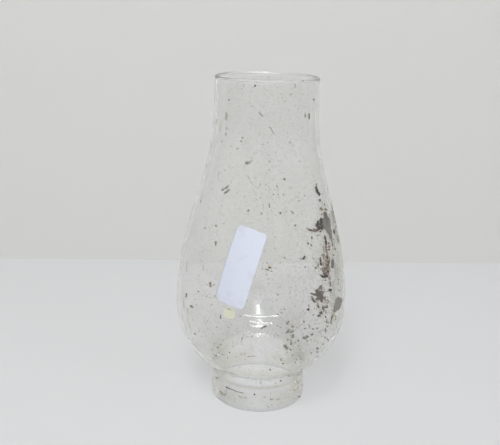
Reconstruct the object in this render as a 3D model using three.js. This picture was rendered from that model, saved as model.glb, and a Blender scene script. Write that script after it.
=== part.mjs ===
// Oil lamp chimney: one piece of mould-blown clear glass, with a bare paper label and a round dot sticker on it.
// Millimetres, +Z up along the axis of the glass. The foot stands on z = 0 with the origin at its centre.
// The label and the dot face -Y, a little to the left of it.
import * as THREE from "three";

// Driving dimensions of the glass
const chimneyHeight = 254;
const collarDiameter = 75.6; // the fitter that stands in the burner's gallery
const collarLandHeight = 8; // height of the collar's parallel part
const waistDiameter = 73.6;
const waistHeight = 18;
const waistFilletRadius = 10; // hollow fillet where the bulb springs from the waist
const bulgeDiameter = 133.2;
const bulgeHeight = 78.5;
const lowerBulbDepth = 61.7; // vertical half axis of the flattened ball under the bulge
const neckDiameter = 77;
const neckHeight = 228; // where the long taper ends and the neck runs almost straight
const bulgeFullness = 61; // reach of the curve's upright run above the bulge
const neckFullness = 48.5; // reach of the curve's upright run below the neck
const rimDiameter = 75.9;

// Thickness of the glass
const footWall = 2.8;
const bulgeWall = 1.6;
const rimWall = 2.4;
const footEdgeRadius = 1.2; // ground edge outside the foot
const footInnerEdgeRadius = 0.6;

// Stickers
const paperThickness = 0.2;
const paperClearance = 0.3; // between the glass and the back of a sticker
const labelWidth = 22.9;
const labelLength = 56.8;
const labelCornerRadius = 3.4;
const labelHeight = 127.6; // centre of the label above the foot
const labelBearing = -14; // degrees round the glass from the front, minus is to the left
const labelTilt = 13.4; // degrees, top of the label to the right
const dotDiameter = 8.6;
const dotGap = 1.4; // between the label's lower edge and the dot
const dotAside = 2.3; // centre of the dot to the right of the label's middle line

// Fineness of the facets
const glassSides = 48;
const edgeSteps = 2;
const shoulderSteps = 4;
const filletSteps = 3;
const ballSteps = 6;
const taperSteps = 11;
const rimSteps = 4;
const labelColumns = 8;
const labelCornerRows = 4;
const labelMiddleRows = 12;
const dotRings = 3;
const dotSides = 24;

const collarRadius = collarDiameter / 2;
const waistRadius = waistDiameter / 2;
const bulgeRadius = bulgeDiameter / 2;
const neckRadius = neckDiameter / 2;
const rimRadius = rimDiameter / 2;
const rimEdgeRadius = rimWall / 2;

// A point of the outline is (radius, height), as THREE.LatheGeometry reads it.
function arcPoints(centre, halfWidth, halfHeight, fromAngle, toAngle, steps) {
  const points = [];
  for (let i = 0; i <= steps; i += 1) {
    const angle = fromAngle + ((toAngle - fromAngle) * i) / steps;
    const across = halfWidth * Math.cos(angle);
    const up = halfHeight * Math.sin(angle);
    points.push(new THREE.Vector2(centre.x + across, centre.y + up));
  }
  return points;
}

// Quarter round at the outer edge of the foot.
function footEdge() {
  const centre = new THREE.Vector2(collarRadius - footEdgeRadius, footEdgeRadius);
  return arcPoints(centre, footEdgeRadius, footEdgeRadius, -Math.PI / 2, 0, edgeSteps);
}

// The collar's land, then its soft shoulder down to the waist.
function collarShoulder() {
  const points = [];
  for (let i = 0; i <= shoulderSteps; i += 1) {
    const share = i / shoulderSteps;
    const ease = (1 - Math.cos(Math.PI * share)) / 2;
    const radius = collarRadius + (waistRadius - collarRadius) * ease;
    const height = collarLandHeight + (waistHeight - collarLandHeight) * share;
    points.push(new THREE.Vector2(radius, height));
  }
  return points;
}

// Hollow fillet out of the waist into the flattened ball, worked out where the ball is round and then flattened.
function lowerBulb() {
  const flatness = lowerBulbDepth / bulgeRadius;
  const reach = waistRadius + waistFilletRadius;
  const drop = Math.sqrt((bulgeRadius + waistFilletRadius) ** 2 - reach ** 2);
  const turn = Math.atan2(drop, reach);
  const filletCentre = new THREE.Vector2(reach, bulgeHeight - flatness * drop);
  const ballCentre = new THREE.Vector2(0, bulgeHeight);
  const filletHeight = waistFilletRadius * flatness;
  const fillet = arcPoints(filletCentre, waistFilletRadius, filletHeight, Math.PI, Math.PI - turn, filletSteps);
  const ball = arcPoints(ballCentre, bulgeRadius, lowerBulbDepth, -turn, 0, ballSteps);
  return [...fillet, ...ball.slice(1)];
}

// The long S from the bulge up into the neck, upright at both ends.
function upperBulb() {
  const curve = new THREE.CubicBezierCurve(
    new THREE.Vector2(bulgeRadius, bulgeHeight),
    new THREE.Vector2(bulgeRadius, bulgeHeight + bulgeFullness),
    new THREE.Vector2(neckRadius, neckHeight - neckFullness),
    new THREE.Vector2(neckRadius, neckHeight),
  );
  return curve.getPoints(taperSteps).slice(1);
}

function outerOutline() {
  const rimStart = new THREE.Vector2(rimRadius, chimneyHeight - rimEdgeRadius);
  return [...footEdge(), ...collarShoulder(), ...lowerBulb(), ...upperBulb(), rimStart];
}

// The blown wall is thick at the foot, thinnest at the bulge and thicker again at the rim.
function wallAt(height) {
  if (height < waistHeight) return footWall;
  if (height < bulgeHeight) {
    return THREE.MathUtils.mapLinear(height, waistHeight, bulgeHeight, footWall, bulgeWall);
  }
  return THREE.MathUtils.mapLinear(height, bulgeHeight, chimneyHeight, bulgeWall, rimWall);
}

// Direction out of the glass, square to the outline, at point i.
function outwardAt(outline, i) {
  const before = outline[Math.max(i - 1, 0)];
  const after = outline[Math.min(i + 1, outline.length - 1)];
  const along = new THREE.Vector2().subVectors(after, before).normalize();
  return new THREE.Vector2(along.y, -along.x);
}

// The inside of the wall follows the outside at the wall's thickness, from the rim down to the foot.
function innerOutline(outer) {
  const points = [];
  for (let i = outer.length - 2; i > edgeSteps; i -= 1) {
    const wall = wallAt(outer[i].y);
    points.push(outer[i].clone().addScaledVector(outwardAt(outer, i), -wall));
  }
  return points;
}

function glassGeometry() {
  const outer = outerOutline();
  const rimCentre = new THREE.Vector2(rimRadius - rimEdgeRadius, chimneyHeight - rimEdgeRadius);
  const rim = arcPoints(rimCentre, rimEdgeRadius, rimEdgeRadius, 0, Math.PI, rimSteps).slice(1);
  const innerFootRadius = collarRadius - footWall;
  const footCentre = new THREE.Vector2(innerFootRadius + footInnerEdgeRadius, footInnerEdgeRadius);
  const innerFoot = arcPoints(
    footCentre, footInnerEdgeRadius, footInnerEdgeRadius, Math.PI, (Math.PI * 3) / 2, edgeSteps,
  );
  const profile = [...outer, ...rim, ...innerOutline(outer), ...innerFoot, outer[0].clone()];
  return new THREE.LatheGeometry(profile, glassSides);
}

// Heights and radii of the glass along its outline, to lay a sticker on it at true lengths.
function outlineRuler() {
  const outline = outerOutline();
  const lengths = [0];
  for (let i = 1; i < outline.length; i += 1) {
    lengths.push(lengths[i - 1] + outline[i].distanceTo(outline[i - 1]));
  }
  return { outline, lengths };
}

const ruler = outlineRuler();

function between(values, keys, key) {
  let i = 1;
  while (i < keys.length - 1 && keys[i] < key) i += 1;
  const share = (key - keys[i - 1]) / (keys[i] - keys[i - 1]);
  return values[i - 1] + (values[i] - values[i - 1]) * share;
}

// The point that lies x across and y up the label from its centre, lifted off the glass.
function pointOnGlass(x, y, lift) {
  const turn = THREE.MathUtils.degToRad(labelTilt);
  const across = x * Math.cos(turn) + y * Math.sin(turn);
  const up = y * Math.cos(turn) - x * Math.sin(turn);
  const heights = ruler.outline.map((point) => point.y);
  const radii = ruler.outline.map((point) => point.x);
  const along = between(ruler.lengths, heights, labelHeight) + up;
  const z = between(heights, ruler.lengths, along);
  const radius = between(radii, ruler.lengths, along);
  const angle = THREE.MathUtils.degToRad(labelBearing) + across / radius;
  const reach = radius + lift;
  return new THREE.Vector3(reach * Math.sin(angle), -reach * Math.cos(angle), z);
}

// A closed solid from a front and a back sheet with the same triangles, joined round their edge.
// The front sheet's triangles and the edge both run anticlockwise seen from outside.
function sheetSolid(front, back, triangles, edge) {
  const positions = [];
  const addTriangle = (a, b, c) => positions.push(...a.toArray(), ...b.toArray(), ...c.toArray());
  for (const [a, b, c] of triangles) {
    addTriangle(front[a], front[b], front[c]);
    addTriangle(back[a], back[c], back[b]);
  }
  edge.forEach((here, i) => {
    const next = edge[(i + 1) % edge.length];
    addTriangle(front[here], back[here], back[next]);
    addTriangle(front[here], back[next], front[next]);
  });
  const geometry = new THREE.BufferGeometry();
  geometry.setAttribute("position", new THREE.Float32BufferAttribute(positions, 3));
  geometry.computeVertexNormals();
  return geometry;
}

// Distances up the label at which its rows lie: close together round the corners.
function labelRows() {
  const rows = [];
  const straight = labelLength / 2 - labelCornerRadius;
  for (let i = 0; i < labelCornerRows; i += 1) {
    const angle = (Math.PI / 2) * (1 - i / labelCornerRows);
    rows.push(-straight - labelCornerRadius * Math.sin(angle));
  }
  for (let i = 0; i <= labelMiddleRows; i += 1) {
    rows.push(-straight + (2 * straight * i) / labelMiddleRows);
  }
  for (let i = 1; i <= labelCornerRows; i += 1) {
    const angle = (Math.PI / 2) * (i / labelCornerRows);
    rows.push(straight + labelCornerRadius * Math.sin(angle));
  }
  return rows;
}

function labelHalfWidth(y) {
  const past = Math.max(Math.abs(y) - (labelLength / 2 - labelCornerRadius), 0);
  const cornerRun = Math.sqrt(Math.max(labelCornerRadius ** 2 - past ** 2, 0));
  return labelWidth / 2 - labelCornerRadius + cornerRun;
}

function labelGeometry() {
  const rows = labelRows();
  const perRow = labelColumns + 1;
  const front = [];
  const back = [];
  for (const y of rows) {
    const halfWidth = labelHalfWidth(y);
    for (let i = 0; i < perRow; i += 1) {
      const x = halfWidth * ((2 * i) / labelColumns - 1);
      front.push(pointOnGlass(x, y, paperClearance + paperThickness));
      back.push(pointOnGlass(x, y, paperClearance));
    }
  }
  const triangles = [];
  for (let row = 0; row < rows.length - 1; row += 1) {
    for (let i = 0; i < labelColumns; i += 1) {
      const a = row * perRow + i;
      const b = a + perRow;
      triangles.push([a, a + 1, b + 1], [a, b + 1, b]);
    }
  }
  const lastRow = (rows.length - 1) * perRow;
  const edge = [];
  for (let i = 0; i < labelColumns; i += 1) edge.push(i);
  for (let row = 0; row < rows.length - 1; row += 1) edge.push(row * perRow + labelColumns);
  for (let i = labelColumns; i > 0; i -= 1) edge.push(lastRow + i);
  for (let row = rows.length - 1; row > 0; row -= 1) edge.push(row * perRow);
  return sheetSolid(front, back, triangles, edge);
}

// The dot is stuck just under the label, and is placed from the label's lower edge.
function dotGeometry() {
  const dotUp = -(labelLength + dotDiameter) / 2 - dotGap;
  const front = [pointOnGlass(dotAside, dotUp, paperClearance + paperThickness)];
  const back = [pointOnGlass(dotAside, dotUp, paperClearance)];
  for (let ring = 1; ring <= dotRings; ring += 1) {
    const radius = ((dotDiameter / 2) * ring) / dotRings;
    for (let i = 0; i < dotSides; i += 1) {
      const angle = (2 * Math.PI * i) / dotSides;
      const x = dotAside + radius * Math.cos(angle);
      const y = dotUp + radius * Math.sin(angle);
      front.push(pointOnGlass(x, y, paperClearance + paperThickness));
      back.push(pointOnGlass(x, y, paperClearance));
    }
  }
  const onRing = (ring, i) => 1 + (ring - 1) * dotSides + (i % dotSides);
  const triangles = [];
  for (let i = 0; i < dotSides; i += 1) {
    triangles.push([0, onRing(1, i), onRing(1, i + 1)]);
    for (let ring = 1; ring < dotRings; ring += 1) {
      triangles.push([onRing(ring, i), onRing(ring + 1, i), onRing(ring + 1, i + 1)]);
      triangles.push([onRing(ring, i), onRing(ring + 1, i + 1), onRing(ring, i + 1)]);
    }
  }
  const edge = [];
  for (let i = 0; i < dotSides; i += 1) edge.push(onRing(dotRings, i));
  return sheetSolid(front, back, triangles, edge);
}

const clearGlass = new THREE.MeshStandardMaterial({ color: 0xdfe6e2, roughness: 0.04, metalness: 0 });
const whitePaper = new THREE.MeshStandardMaterial({ color: 0xe6e6f2, roughness: 0.75, metalness: 0 });
const yellowPaper = new THREE.MeshStandardMaterial({ color: 0xe9e4b4, roughness: 0.7, metalness: 0 });

const chimney = new THREE.Group();

// The lathe turns about Y, so the glass is stood up onto +Z.
const glass = new THREE.Mesh(glassGeometry(), clearGlass);
glass.name = "glass_chimney";
glass.rotation.x = Math.PI / 2;
chimney.add(glass);

const label = new THREE.Mesh(labelGeometry(), whitePaper);
label.name = "paper_label";
chimney.add(label);

const dot = new THREE.Mesh(dotGeometry(), yellowPaper);
dot.name = "dot_sticker";
chimney.add(dot);

export default chimney;
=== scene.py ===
# Oil lamp chimney: old clear blown glass with a bare paper label, a dot sticker and years of soot.
# Metres, +Z up along the axis of the glass, with the foot on z = 0. The label is on the -Y side.
import math
import random

import bpy
from mathutils import Matrix, Vector, noise
from mathutils.bvhtree import BVHTree


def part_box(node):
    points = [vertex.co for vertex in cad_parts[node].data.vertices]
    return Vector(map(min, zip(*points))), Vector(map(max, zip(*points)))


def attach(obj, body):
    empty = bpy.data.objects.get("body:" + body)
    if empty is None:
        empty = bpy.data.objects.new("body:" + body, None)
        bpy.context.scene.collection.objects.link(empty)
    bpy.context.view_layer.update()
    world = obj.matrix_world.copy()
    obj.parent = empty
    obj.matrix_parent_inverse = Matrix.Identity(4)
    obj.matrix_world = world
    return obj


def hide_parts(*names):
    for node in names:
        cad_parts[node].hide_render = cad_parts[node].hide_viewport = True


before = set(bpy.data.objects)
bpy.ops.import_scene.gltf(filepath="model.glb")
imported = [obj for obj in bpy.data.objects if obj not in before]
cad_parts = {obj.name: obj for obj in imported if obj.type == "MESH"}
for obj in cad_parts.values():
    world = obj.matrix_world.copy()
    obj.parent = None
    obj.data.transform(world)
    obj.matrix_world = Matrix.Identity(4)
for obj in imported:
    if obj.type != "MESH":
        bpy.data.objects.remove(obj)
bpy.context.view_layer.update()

# Camera
# It stands in front of the table, a little above the rim, and looks down at the bulb. Its place,
# its turn and its lens were worked out from the outline of the glass and the ellipses of its rim and foot.
camera_distance = 0.5023
camera_height = 0.2949
camera_pitch = math.radians(16.86)
camera_yaw = math.radians(1.12)
camera_roll = math.radians(1.53)
camera_lens = 49.02
camera_sensor = 36.0
picture_width = 500
picture_height = 445

camera = bpy.data.objects.new("camera", bpy.data.cameras.new("camera"))
camera.data.lens = camera_lens
camera.data.sensor_width = camera_sensor
camera.matrix_world = (
    Matrix.Translation((0, -camera_distance, camera_height))
    @ Matrix.Rotation(camera_yaw, 4, "Z")
    @ Matrix.Rotation(math.pi / 2 - camera_pitch, 4, "X")
    @ Matrix.Rotation(camera_roll, 4, "Z")
)
bpy.context.scene.collection.objects.link(camera)
bpy.context.scene.camera = camera
bpy.context.scene.view_settings.view_transform = "Standard"

# Table and wall
# A pale painted board that the glass stands on, and a plain wall close behind it. The wall is
# see-through from behind, so that the glass can be looked at from that side as well.
table_side = 3.0
table_drop = 0.0002
wall_height = 2.0
wall_distance = 0.3062
wall_turn = math.radians(3.8)
table_colour = (0.655, 0.66, 0.67, 1)
wall_colour = (0.605, 0.605, 0.59, 1)


def new_material(name):
    material = bpy.data.materials.new(name)
    material.use_nodes = True
    material.node_tree.nodes.clear()
    return material


def add_node(owner, kind, inputs=None, **settings):
    """Adds a node to a material, the world, a lamp or a bare tree. Inputs are values or sockets to link."""
    tree = getattr(owner, "node_tree", owner)
    node = tree.nodes.new(kind)
    for name, value in settings.items():
        setattr(node, name, value)
    for name, value in (inputs or {}).items():
        if isinstance(value, bpy.types.NodeSocket):
            tree.links.new(value, node.inputs[name])
        else:
            node.inputs[name].default_value = value
    return node


def add_mesh(name, points, faces, material, smooth=True):
    mesh = bpy.data.meshes.new(name)
    mesh.from_pydata(points, [], faces)
    mesh.polygons.foreach_set("use_smooth", [smooth] * len(faces))
    mesh.materials.append(material)
    mesh.update()
    piece = bpy.data.objects.new(name, mesh)
    bpy.context.scene.collection.objects.link(piece)
    return piece


def plain_board(name, colour):
    material = new_material(name)
    board = add_node(material, "ShaderNodeBsdfDiffuse", {"Color": colour})
    add_node(material, "ShaderNodeOutputMaterial", {"Surface": board.outputs[0]})
    return material


table_reach = table_side / 2
table = add_mesh(
    "table",
    [(-table_reach, -table_reach, -table_drop), (table_reach, -table_reach, -table_drop),
     (table_reach, table_reach, -table_drop), (-table_reach, table_reach, -table_drop)],
    [(0, 1, 2, 3)],
    plain_board("table_paint", table_colour),
)

wall_paint = new_material("wall_paint")
wall_front = add_node(wall_paint, "ShaderNodeBsdfDiffuse", {"Color": wall_colour})
wall_back = add_node(wall_paint, "ShaderNodeBsdfTransparent")
wall_side = add_node(wall_paint, "ShaderNodeNewGeometry")
wall_mix = add_node(wall_paint, "ShaderNodeMixShader", {
    0: wall_side.outputs["Backfacing"], 1: wall_front.outputs[0], 2: wall_back.outputs[0]})
add_node(wall_paint, "ShaderNodeOutputMaterial", {"Surface": wall_mix.outputs[0]})
wall_run = Vector((math.cos(wall_turn), math.sin(wall_turn), 0)) * table_reach
wall_foot = Vector((0, wall_distance, -table_drop))
wall_rise = Vector((0, 0, wall_height))
wall = add_mesh(
    "wall",
    [wall_foot - wall_run, wall_foot + wall_run,
     wall_foot + wall_run + wall_rise, wall_foot - wall_run + wall_rise],
    [(0, 1, 2, 3)],
    wall_paint,
)

# Glass chimney
# One gather of clear glass, blown in a mould and cracked off: a straight fitter collar with a ground
# foot, a pear-shaped bulb and a long neck with a fire-polished rim. It stands loose in the burner.
glass_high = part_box("glass_chimney")[1]
chimney_height = glass_high.z
bulge_radius = glass_high.x
collar_radius = 0.0378
collar_land_height = 0.008
waist_radius = 0.0368
waist_height = 0.018
waist_fillet_radius = 0.010
bulge_height = 0.0785
lower_bulb_depth = 0.0617
neck_radius = 0.0385
neck_height = 0.228
bulge_fullness = 0.061
neck_fullness = 0.0485
rim_radius = 0.03795
foot_wall = 0.0028
bulge_wall = 0.0016
rim_wall = 0.0024
foot_edge_radius = 0.0012
foot_inner_edge_radius = 0.0006
thick_foot_top = 0.030
glass_sides = 336
foot_steps = 6
land_steps = 3
shoulder_steps = 8
fillet_steps = 12
lower_bulb_steps = 34
upper_bulb_steps = 64
neck_steps = 7
rim_steps = 10
inner_foot_steps = 4


def arc_points(centre, half_width, half_height, start, end, steps):
    points = []
    for i in range(steps + 1):
        angle = start + (end - start) * i / steps
        points.append((
            centre[0] + half_width * math.cos(angle),
            centre[1] + half_height * math.sin(angle),
        ))
    return points


def bezier_points(a, b, c, d, steps):
    points = []
    for i in range(steps + 1):
        t = i / steps
        weights = ((1 - t) ** 3, 3 * t * (1 - t) ** 2, 3 * t ** 2 * (1 - t), t ** 3)
        points.append(tuple(sum(w * p[k] for w, p in zip(weights, (a, b, c, d))) for k in (0, 1)))
    return points


def straight_points(a, b, steps):
    points = []
    for i in range(steps + 1):
        points.append(tuple(a[k] + (b[k] - a[k]) * i / steps for k in (0, 1)))
    return points


def shoulder_points():
    """The easy slope from the straight collar in to the waist."""
    points = []
    for i in range(shoulder_steps + 1):
        share = i / shoulder_steps
        ease = (1 - math.cos(math.pi * share)) / 2
        points.append((
            collar_radius + (waist_radius - collar_radius) * ease,
            collar_land_height + (waist_height - collar_land_height) * share,
        ))
    return points


def lower_bulb_points():
    """The hollow fillet out of the waist into the flattened ball."""
    flatness = lower_bulb_depth / bulge_radius
    reach = waist_radius + waist_fillet_radius
    drop = math.sqrt((bulge_radius + waist_fillet_radius) ** 2 - reach ** 2)
    turn = math.atan2(drop, reach)
    fillet_centre = (reach, bulge_height - flatness * drop)
    fillet_height = waist_fillet_radius * flatness
    fillet = arc_points(
        fillet_centre, waist_fillet_radius, fillet_height, math.pi, math.pi - turn, fillet_steps)
    ball = arc_points((0, bulge_height), bulge_radius, lower_bulb_depth, -turn, 0, lower_bulb_steps)
    return fillet + ball[1:]


def outer_outline():
    """(radius, height) of the outside, from the flat of the foot up to the start of the rim's round."""
    foot_centre = (collar_radius - foot_edge_radius, foot_edge_radius)
    foot = arc_points(foot_centre, foot_edge_radius, foot_edge_radius, -math.pi / 2, 0, foot_steps)
    land = straight_points(foot[-1], (collar_radius, collar_land_height), land_steps)
    upper = bezier_points(
        (bulge_radius, bulge_height), (bulge_radius, bulge_height + bulge_fullness),
        (neck_radius, neck_height - neck_fullness), (neck_radius, neck_height), upper_bulb_steps)
    neck = straight_points(
        (neck_radius, neck_height), (rim_radius, chimney_height - rim_wall / 2), neck_steps)
    return foot + land[1:] + shoulder_points()[1:] + lower_bulb_points()[1:] + upper[1:] + neck[1:]


def wall_at(height):
    """The bulb's wall is thin. It thickens down to the collar in the waist, and slowly up to the rim."""
    if height < waist_height:
        return foot_wall
    if height < bulge_height:
        share = min(1.0, (height - waist_height) / (thick_foot_top - waist_height))
        return foot_wall + (bulge_wall - foot_wall) * (1 - math.cos(math.pi * share)) / 2
    share = (height - bulge_height) / (chimney_height - bulge_height)
    return bulge_wall + (rim_wall - bulge_wall) * share


def outward(outline, i):
    """Direction out of the glass, square to the outline at point i, as (across, up)."""
    before, after = outline[max(i - 1, 0)], outline[min(i + 1, len(outline) - 1)]
    run = math.hypot(after[0] - before[0], after[1] - before[1])
    return (after[1] - before[1]) / run, -(after[0] - before[0]) / run


outline = outer_outline()
rim_centre = (rim_radius - rim_wall / 2, chimney_height - rim_wall / 2)
rim = arc_points(rim_centre, rim_wall / 2, rim_wall / 2, 0, math.pi, rim_steps)
inside = []
for i in range(len(outline) - 2, foot_steps, -1):
    across, up = outward(outline, i)
    wall_here = wall_at(outline[i][1])
    inside.append((outline[i][0] - across * wall_here, outline[i][1] - up * wall_here))
inner_foot_centre = (collar_radius - foot_wall + foot_inner_edge_radius, foot_inner_edge_radius)
inner_foot = arc_points(
    inner_foot_centre, foot_inner_edge_radius, foot_inner_edge_radius,
    math.pi, math.pi * 3 / 2, inner_foot_steps)
profile = outline + rim[1:] + inside + inner_foot

glass_points = []
for radius, height in profile:
    for side in range(glass_sides):
        angle = 2 * math.pi * side / glass_sides
        glass_points.append((radius * math.sin(angle), -radius * math.cos(angle), height))
glass_faces = []
for k in range(len(profile)):
    here, above = k * glass_sides, (k + 1) % len(profile) * glass_sides
    for side in range(glass_sides):
        following = (side + 1) % glass_sides
        glass_faces.append((here + side, here + following, above + following, above + side))
glass_surface = BVHTree.FromPolygons(glass_points, glass_faces)
lens_reach = camera_lens / camera_sensor * picture_width


def hit_on_glass(x, y):
    """Where the camera's ray through a point of the picture meets the glass, and the way out of it there."""
    aim = Vector((x - picture_width / 2, picture_height / 2 - y, -lens_reach))
    aim = camera.matrix_world.to_3x3() @ aim.normalized()
    return glass_surface.ray_cast(camera.matrix_world.translation, aim)[:2]


# Colours that the light takes on where it goes through the glass and what lies on it.
clean_tint = (0.972, 0.975, 0.968, 1)
film_tint = (0.79, 0.79, 0.735, 1)
haze_tint = (0.93, 0.925, 0.90, 1)
dirt_and_shade_tint = (0.70, 0.68, 0.53, 1)
foot_tint = (0.80, 0.83, 0.86, 1)
rim_tint = (0.73, 0.73, 0.705, 1)
stain_tint = (0.80, 0.725, 0.67, 1)
olive_tint = (0.74, 0.74, 0.68, 1)
speck_tint = (0.79, 0.78, 0.74, 1)
# An olive film down the right side, from the shoulder to low on the bulb.
film_start = 0.040
film_full = 0.062
film_bottom = 0.050
film_top = 0.200
film_fade = 0.030
# A thin haze low on the bulb, cleared in a band down the middle as painted light.
haze_top = 0.114
haze_full = 0.064
haze_low = 0.034
haze_end = 0.026
# The clear band down the middle stands in for the brighter patch of light that the bulb gathers behind it.
lit_band_middle = 0.001
lit_band_width = 0.010
lit_band_share = 0.75
# Dirt and painted shade in the crease of the waist and in the hollow over it, on the front side only.
crease_height = 0.0202
crease_width = 0.0017
crease_share = 0.6
hollow_height = 0.042
hollow_width = 0.0075
hollow_share = 0.45
front_fade = 0.016
# Painted shade that darkens the collar towards its left and right sides and low down, leaving its middle
# lighter.
collar_side_start = 0.016
collar_side_full = 0.031
collar_side_share = 0.42
collar_low_top = 0.018
collar_low_full = 0.012
collar_low_start = 0.002
collar_low_spread = 0.020
collar_low_share = 0.34
# The ground foot and the fire-polished rim look greyer and less clear than the wall.
foot_band = 0.0042
rim_band = 0.0024
rim_full_depth = rim_wall / 4
rim_clear_share = 0.68
rim_roughness = 0.3
glass_roughness = 0.01
glass_ior = 1.5
# The clouds that break up the haze, the stains and the fine specks: scale, detail and roughness of each.
smear_cloud = (60.0, 6.0, 0.65)
smear_start = 0.3
smear_full = 0.68
patch_cloud = (260.0, 6.0, 0.7)
patch_start = 0.36
patch_full = 0.6
patch_least_share = 0.25
speck_cloud = (1300.0, 2.0, 0.5)
speck_start = 0.60
speck_full = 0.66
# Each stain is a point of the picture in pixels, its reach on the glass in metres, and its share.
brown_stains = (
    # down the trail and its clusters
    (322.5, 212.5, 0.006, 0.5), (319.5, 226.5, 0.008, 0.6), (326.5, 232.5, 0.007, 0.6),
    (326.5, 246.5, 0.006, 0.6), (325.5, 258.5, 0.007, 0.5), (325.5, 268.5, 0.007, 0.5),
    (325.5, 276.5, 0.006, 0.35), (318.5, 296.5, 0.009, 0.25), (323.5, 306.5, 0.008, 0.7),
    (333.5, 320.5, 0.006, 0.5),
    # beside the label, and on the collar
    (259.5, 287.5, 0.008, 0.35), (266.5, 267.5, 0.005, 0.3),
    (220.5, 393.5, 0.006, 1.0), (296.5, 388.0, 0.007, 0.8),
)
olive_stains = (
    # low on the bulb at both sides, and at the right of the trail
    (300.5, 355.5, 0.016, 0.9), (290.5, 344.5, 0.011, 0.5), (289.5, 328.5, 0.009, 0.4),
    (293.0, 320.5, 0.014, 0.35), (224.5, 357.5, 0.017, 0.15),
    (328.5, 286.5, 0.008, 0.3), (334.5, 306.5, 0.010, 0.6),
)

glass_material = new_material("old_clear_glass")
glass_spot = add_node(glass_material, "ShaderNodeTexCoord").outputs["Object"]
glass_axes = add_node(glass_material, "ShaderNodeSeparateXYZ", {"Vector": glass_spot})
spot_x = glass_axes.outputs["X"]
spot_y = glass_axes.outputs["Y"]
spot_z = glass_axes.outputs["Z"]


def share_between(value, start, end, low=0.0, high=1.0):
    """A share that eases from low to high while the value goes from start to end."""
    return add_node(glass_material, "ShaderNodeMapRange", {
        "Value": value, "From Min": start, "From Max": end, "To Min": low, "To Max": high},
        interpolation_type="SMOOTHSTEP").outputs["Result"]


def worked_out(operation, *values):
    return add_node(
        glass_material, "ShaderNodeMath", dict(enumerate(values)), operation=operation).outputs[0]


def product(a, b):
    return worked_out("MULTIPLY", a, b)


def largest(a, b):
    return worked_out("MAXIMUM", a, b)


def opposite(share):
    return worked_out("SUBTRACT", 1.0, share)


def within(value, middle, reach):
    """1 at the middle, easing to 0 at the reach on both sides of it."""
    away = worked_out("ABSOLUTE", worked_out("SUBTRACT", value, middle))
    return share_between(away, reach, 0.0)


def cloud(scale, detail, roughness):
    """Noise that runs through the glass."""
    return add_node(glass_material, "ShaderNodeTexNoise", {
        "Vector": glass_spot, "Scale": scale, "Detail": detail, "Roughness": roughness}).outputs["Fac"]


def tinted(ground, tint, share):
    """Lays a tint over the colour of the ground, as far as the share says."""
    return add_node(glass_material, "ShaderNodeMix", {
        "Factor": share, 6: ground, 7: tint}, data_type="RGBA").outputs[2]


def stained(ground, tint, stains):
    """Lays soft round patches of a tint over the colour of the ground, each round its place on the glass."""
    covered = 0.0
    for x, y, reach, share in stains:
        place = hit_on_glass(x, y)[0]
        away = add_node(glass_material, "ShaderNodeVectorMath", {
            0: glass_spot, 1: place}, operation="DISTANCE").outputs["Value"]
        covered = largest(covered, share_between(away, reach, 0.0, 0.0, share))
    return tinted(ground, tint, product(covered, patchy))


smear = share_between(cloud(*smear_cloud), smear_start, smear_full)
patchy = share_between(cloud(*patch_cloud), patch_start, patch_full, patch_least_share, 1.0)
right_side = share_between(spot_x, film_start, film_full)
above_film_bottom = share_between(spot_z, film_bottom, film_bottom + film_fade)
below_film_top = share_between(spot_z, film_top, film_top - film_fade)
film_share = product(product(right_side, above_film_bottom), product(below_film_top, patchy))
low_on_bulb = product(
    share_between(spot_z, haze_top, haze_full), share_between(spot_z, haze_end, haze_low))
# Painted light: the haze is cleared in a band down the middle.
lit_band = product(within(spot_x, lit_band_middle, lit_band_width), lit_band_share)
haze_share = product(product(low_on_bulb, smear), opposite(lit_band))
in_front = share_between(spot_y, 0.0, -front_fade)
# Dirt and painted shade in the crease and the hollow on the front, and painted shade on the collar's sides.
in_crease = product(within(spot_z, crease_height, crease_width), product(crease_share, in_front))
in_hollow = product(within(spot_z, hollow_height, hollow_width), product(hollow_share, in_front))
aside = worked_out("ABSOLUTE", spot_x)
on_collar_side = product(
    share_between(aside, collar_side_start, collar_side_full), share_between(spot_z, haze_low, haze_end))
on_collar_low = product(
    share_between(aside, collar_low_start, collar_low_spread),
    share_between(spot_z, collar_low_top, collar_low_full))
on_collar = largest(product(on_collar_side, collar_side_share), product(on_collar_low, collar_low_share))
dirt_and_shade_share = largest(largest(in_crease, in_hollow), on_collar)
foot_share = share_between(spot_z, foot_band, 0.0)
at_rim = share_between(spot_z, chimney_height - rim_band, chimney_height - rim_full_depth)
at_ends = largest(at_rim, share_between(spot_z, foot_edge_radius, 0.0))
speck_share = product(share_between(cloud(*speck_cloud), speck_start, speck_full), patchy)

glass_colour = stained(clean_tint, stain_tint, brown_stains)
glass_colour = stained(glass_colour, olive_tint, olive_stains)
glass_colour = tinted(glass_colour, film_tint, film_share)
glass_colour = tinted(glass_colour, haze_tint, haze_share)
# Dirt and painted shade in the crease, the hollow and on the collar.
glass_colour = tinted(glass_colour, dirt_and_shade_tint, dirt_and_shade_share)
glass_colour = tinted(glass_colour, foot_tint, foot_share)
glass_colour = tinted(glass_colour, speck_tint, speck_share)
glass_colour = tinted(glass_colour, rim_tint, at_rim)
glass_shader = add_node(glass_material, "ShaderNodeBsdfPrincipled", {
    "Base Color": glass_colour, "IOR": glass_ior,
    "Roughness": share_between(at_ends, 0.0, 1.0, glass_roughness, rim_roughness),
    "Transmission Weight": share_between(at_rim, 0.0, 1.0, 1.0, rim_clear_share)})
add_node(glass_material, "ShaderNodeOutputMaterial", {"Surface": glass_shader.outputs[0]})
glass = add_mesh("blown_glass", glass_points, glass_faces, glass_material)
# Light that the table and the wall scatter goes through the glass as if it weren't there.
glass.visible_diffuse = False
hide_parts("glass_chimney")
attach(glass, "root")

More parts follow.
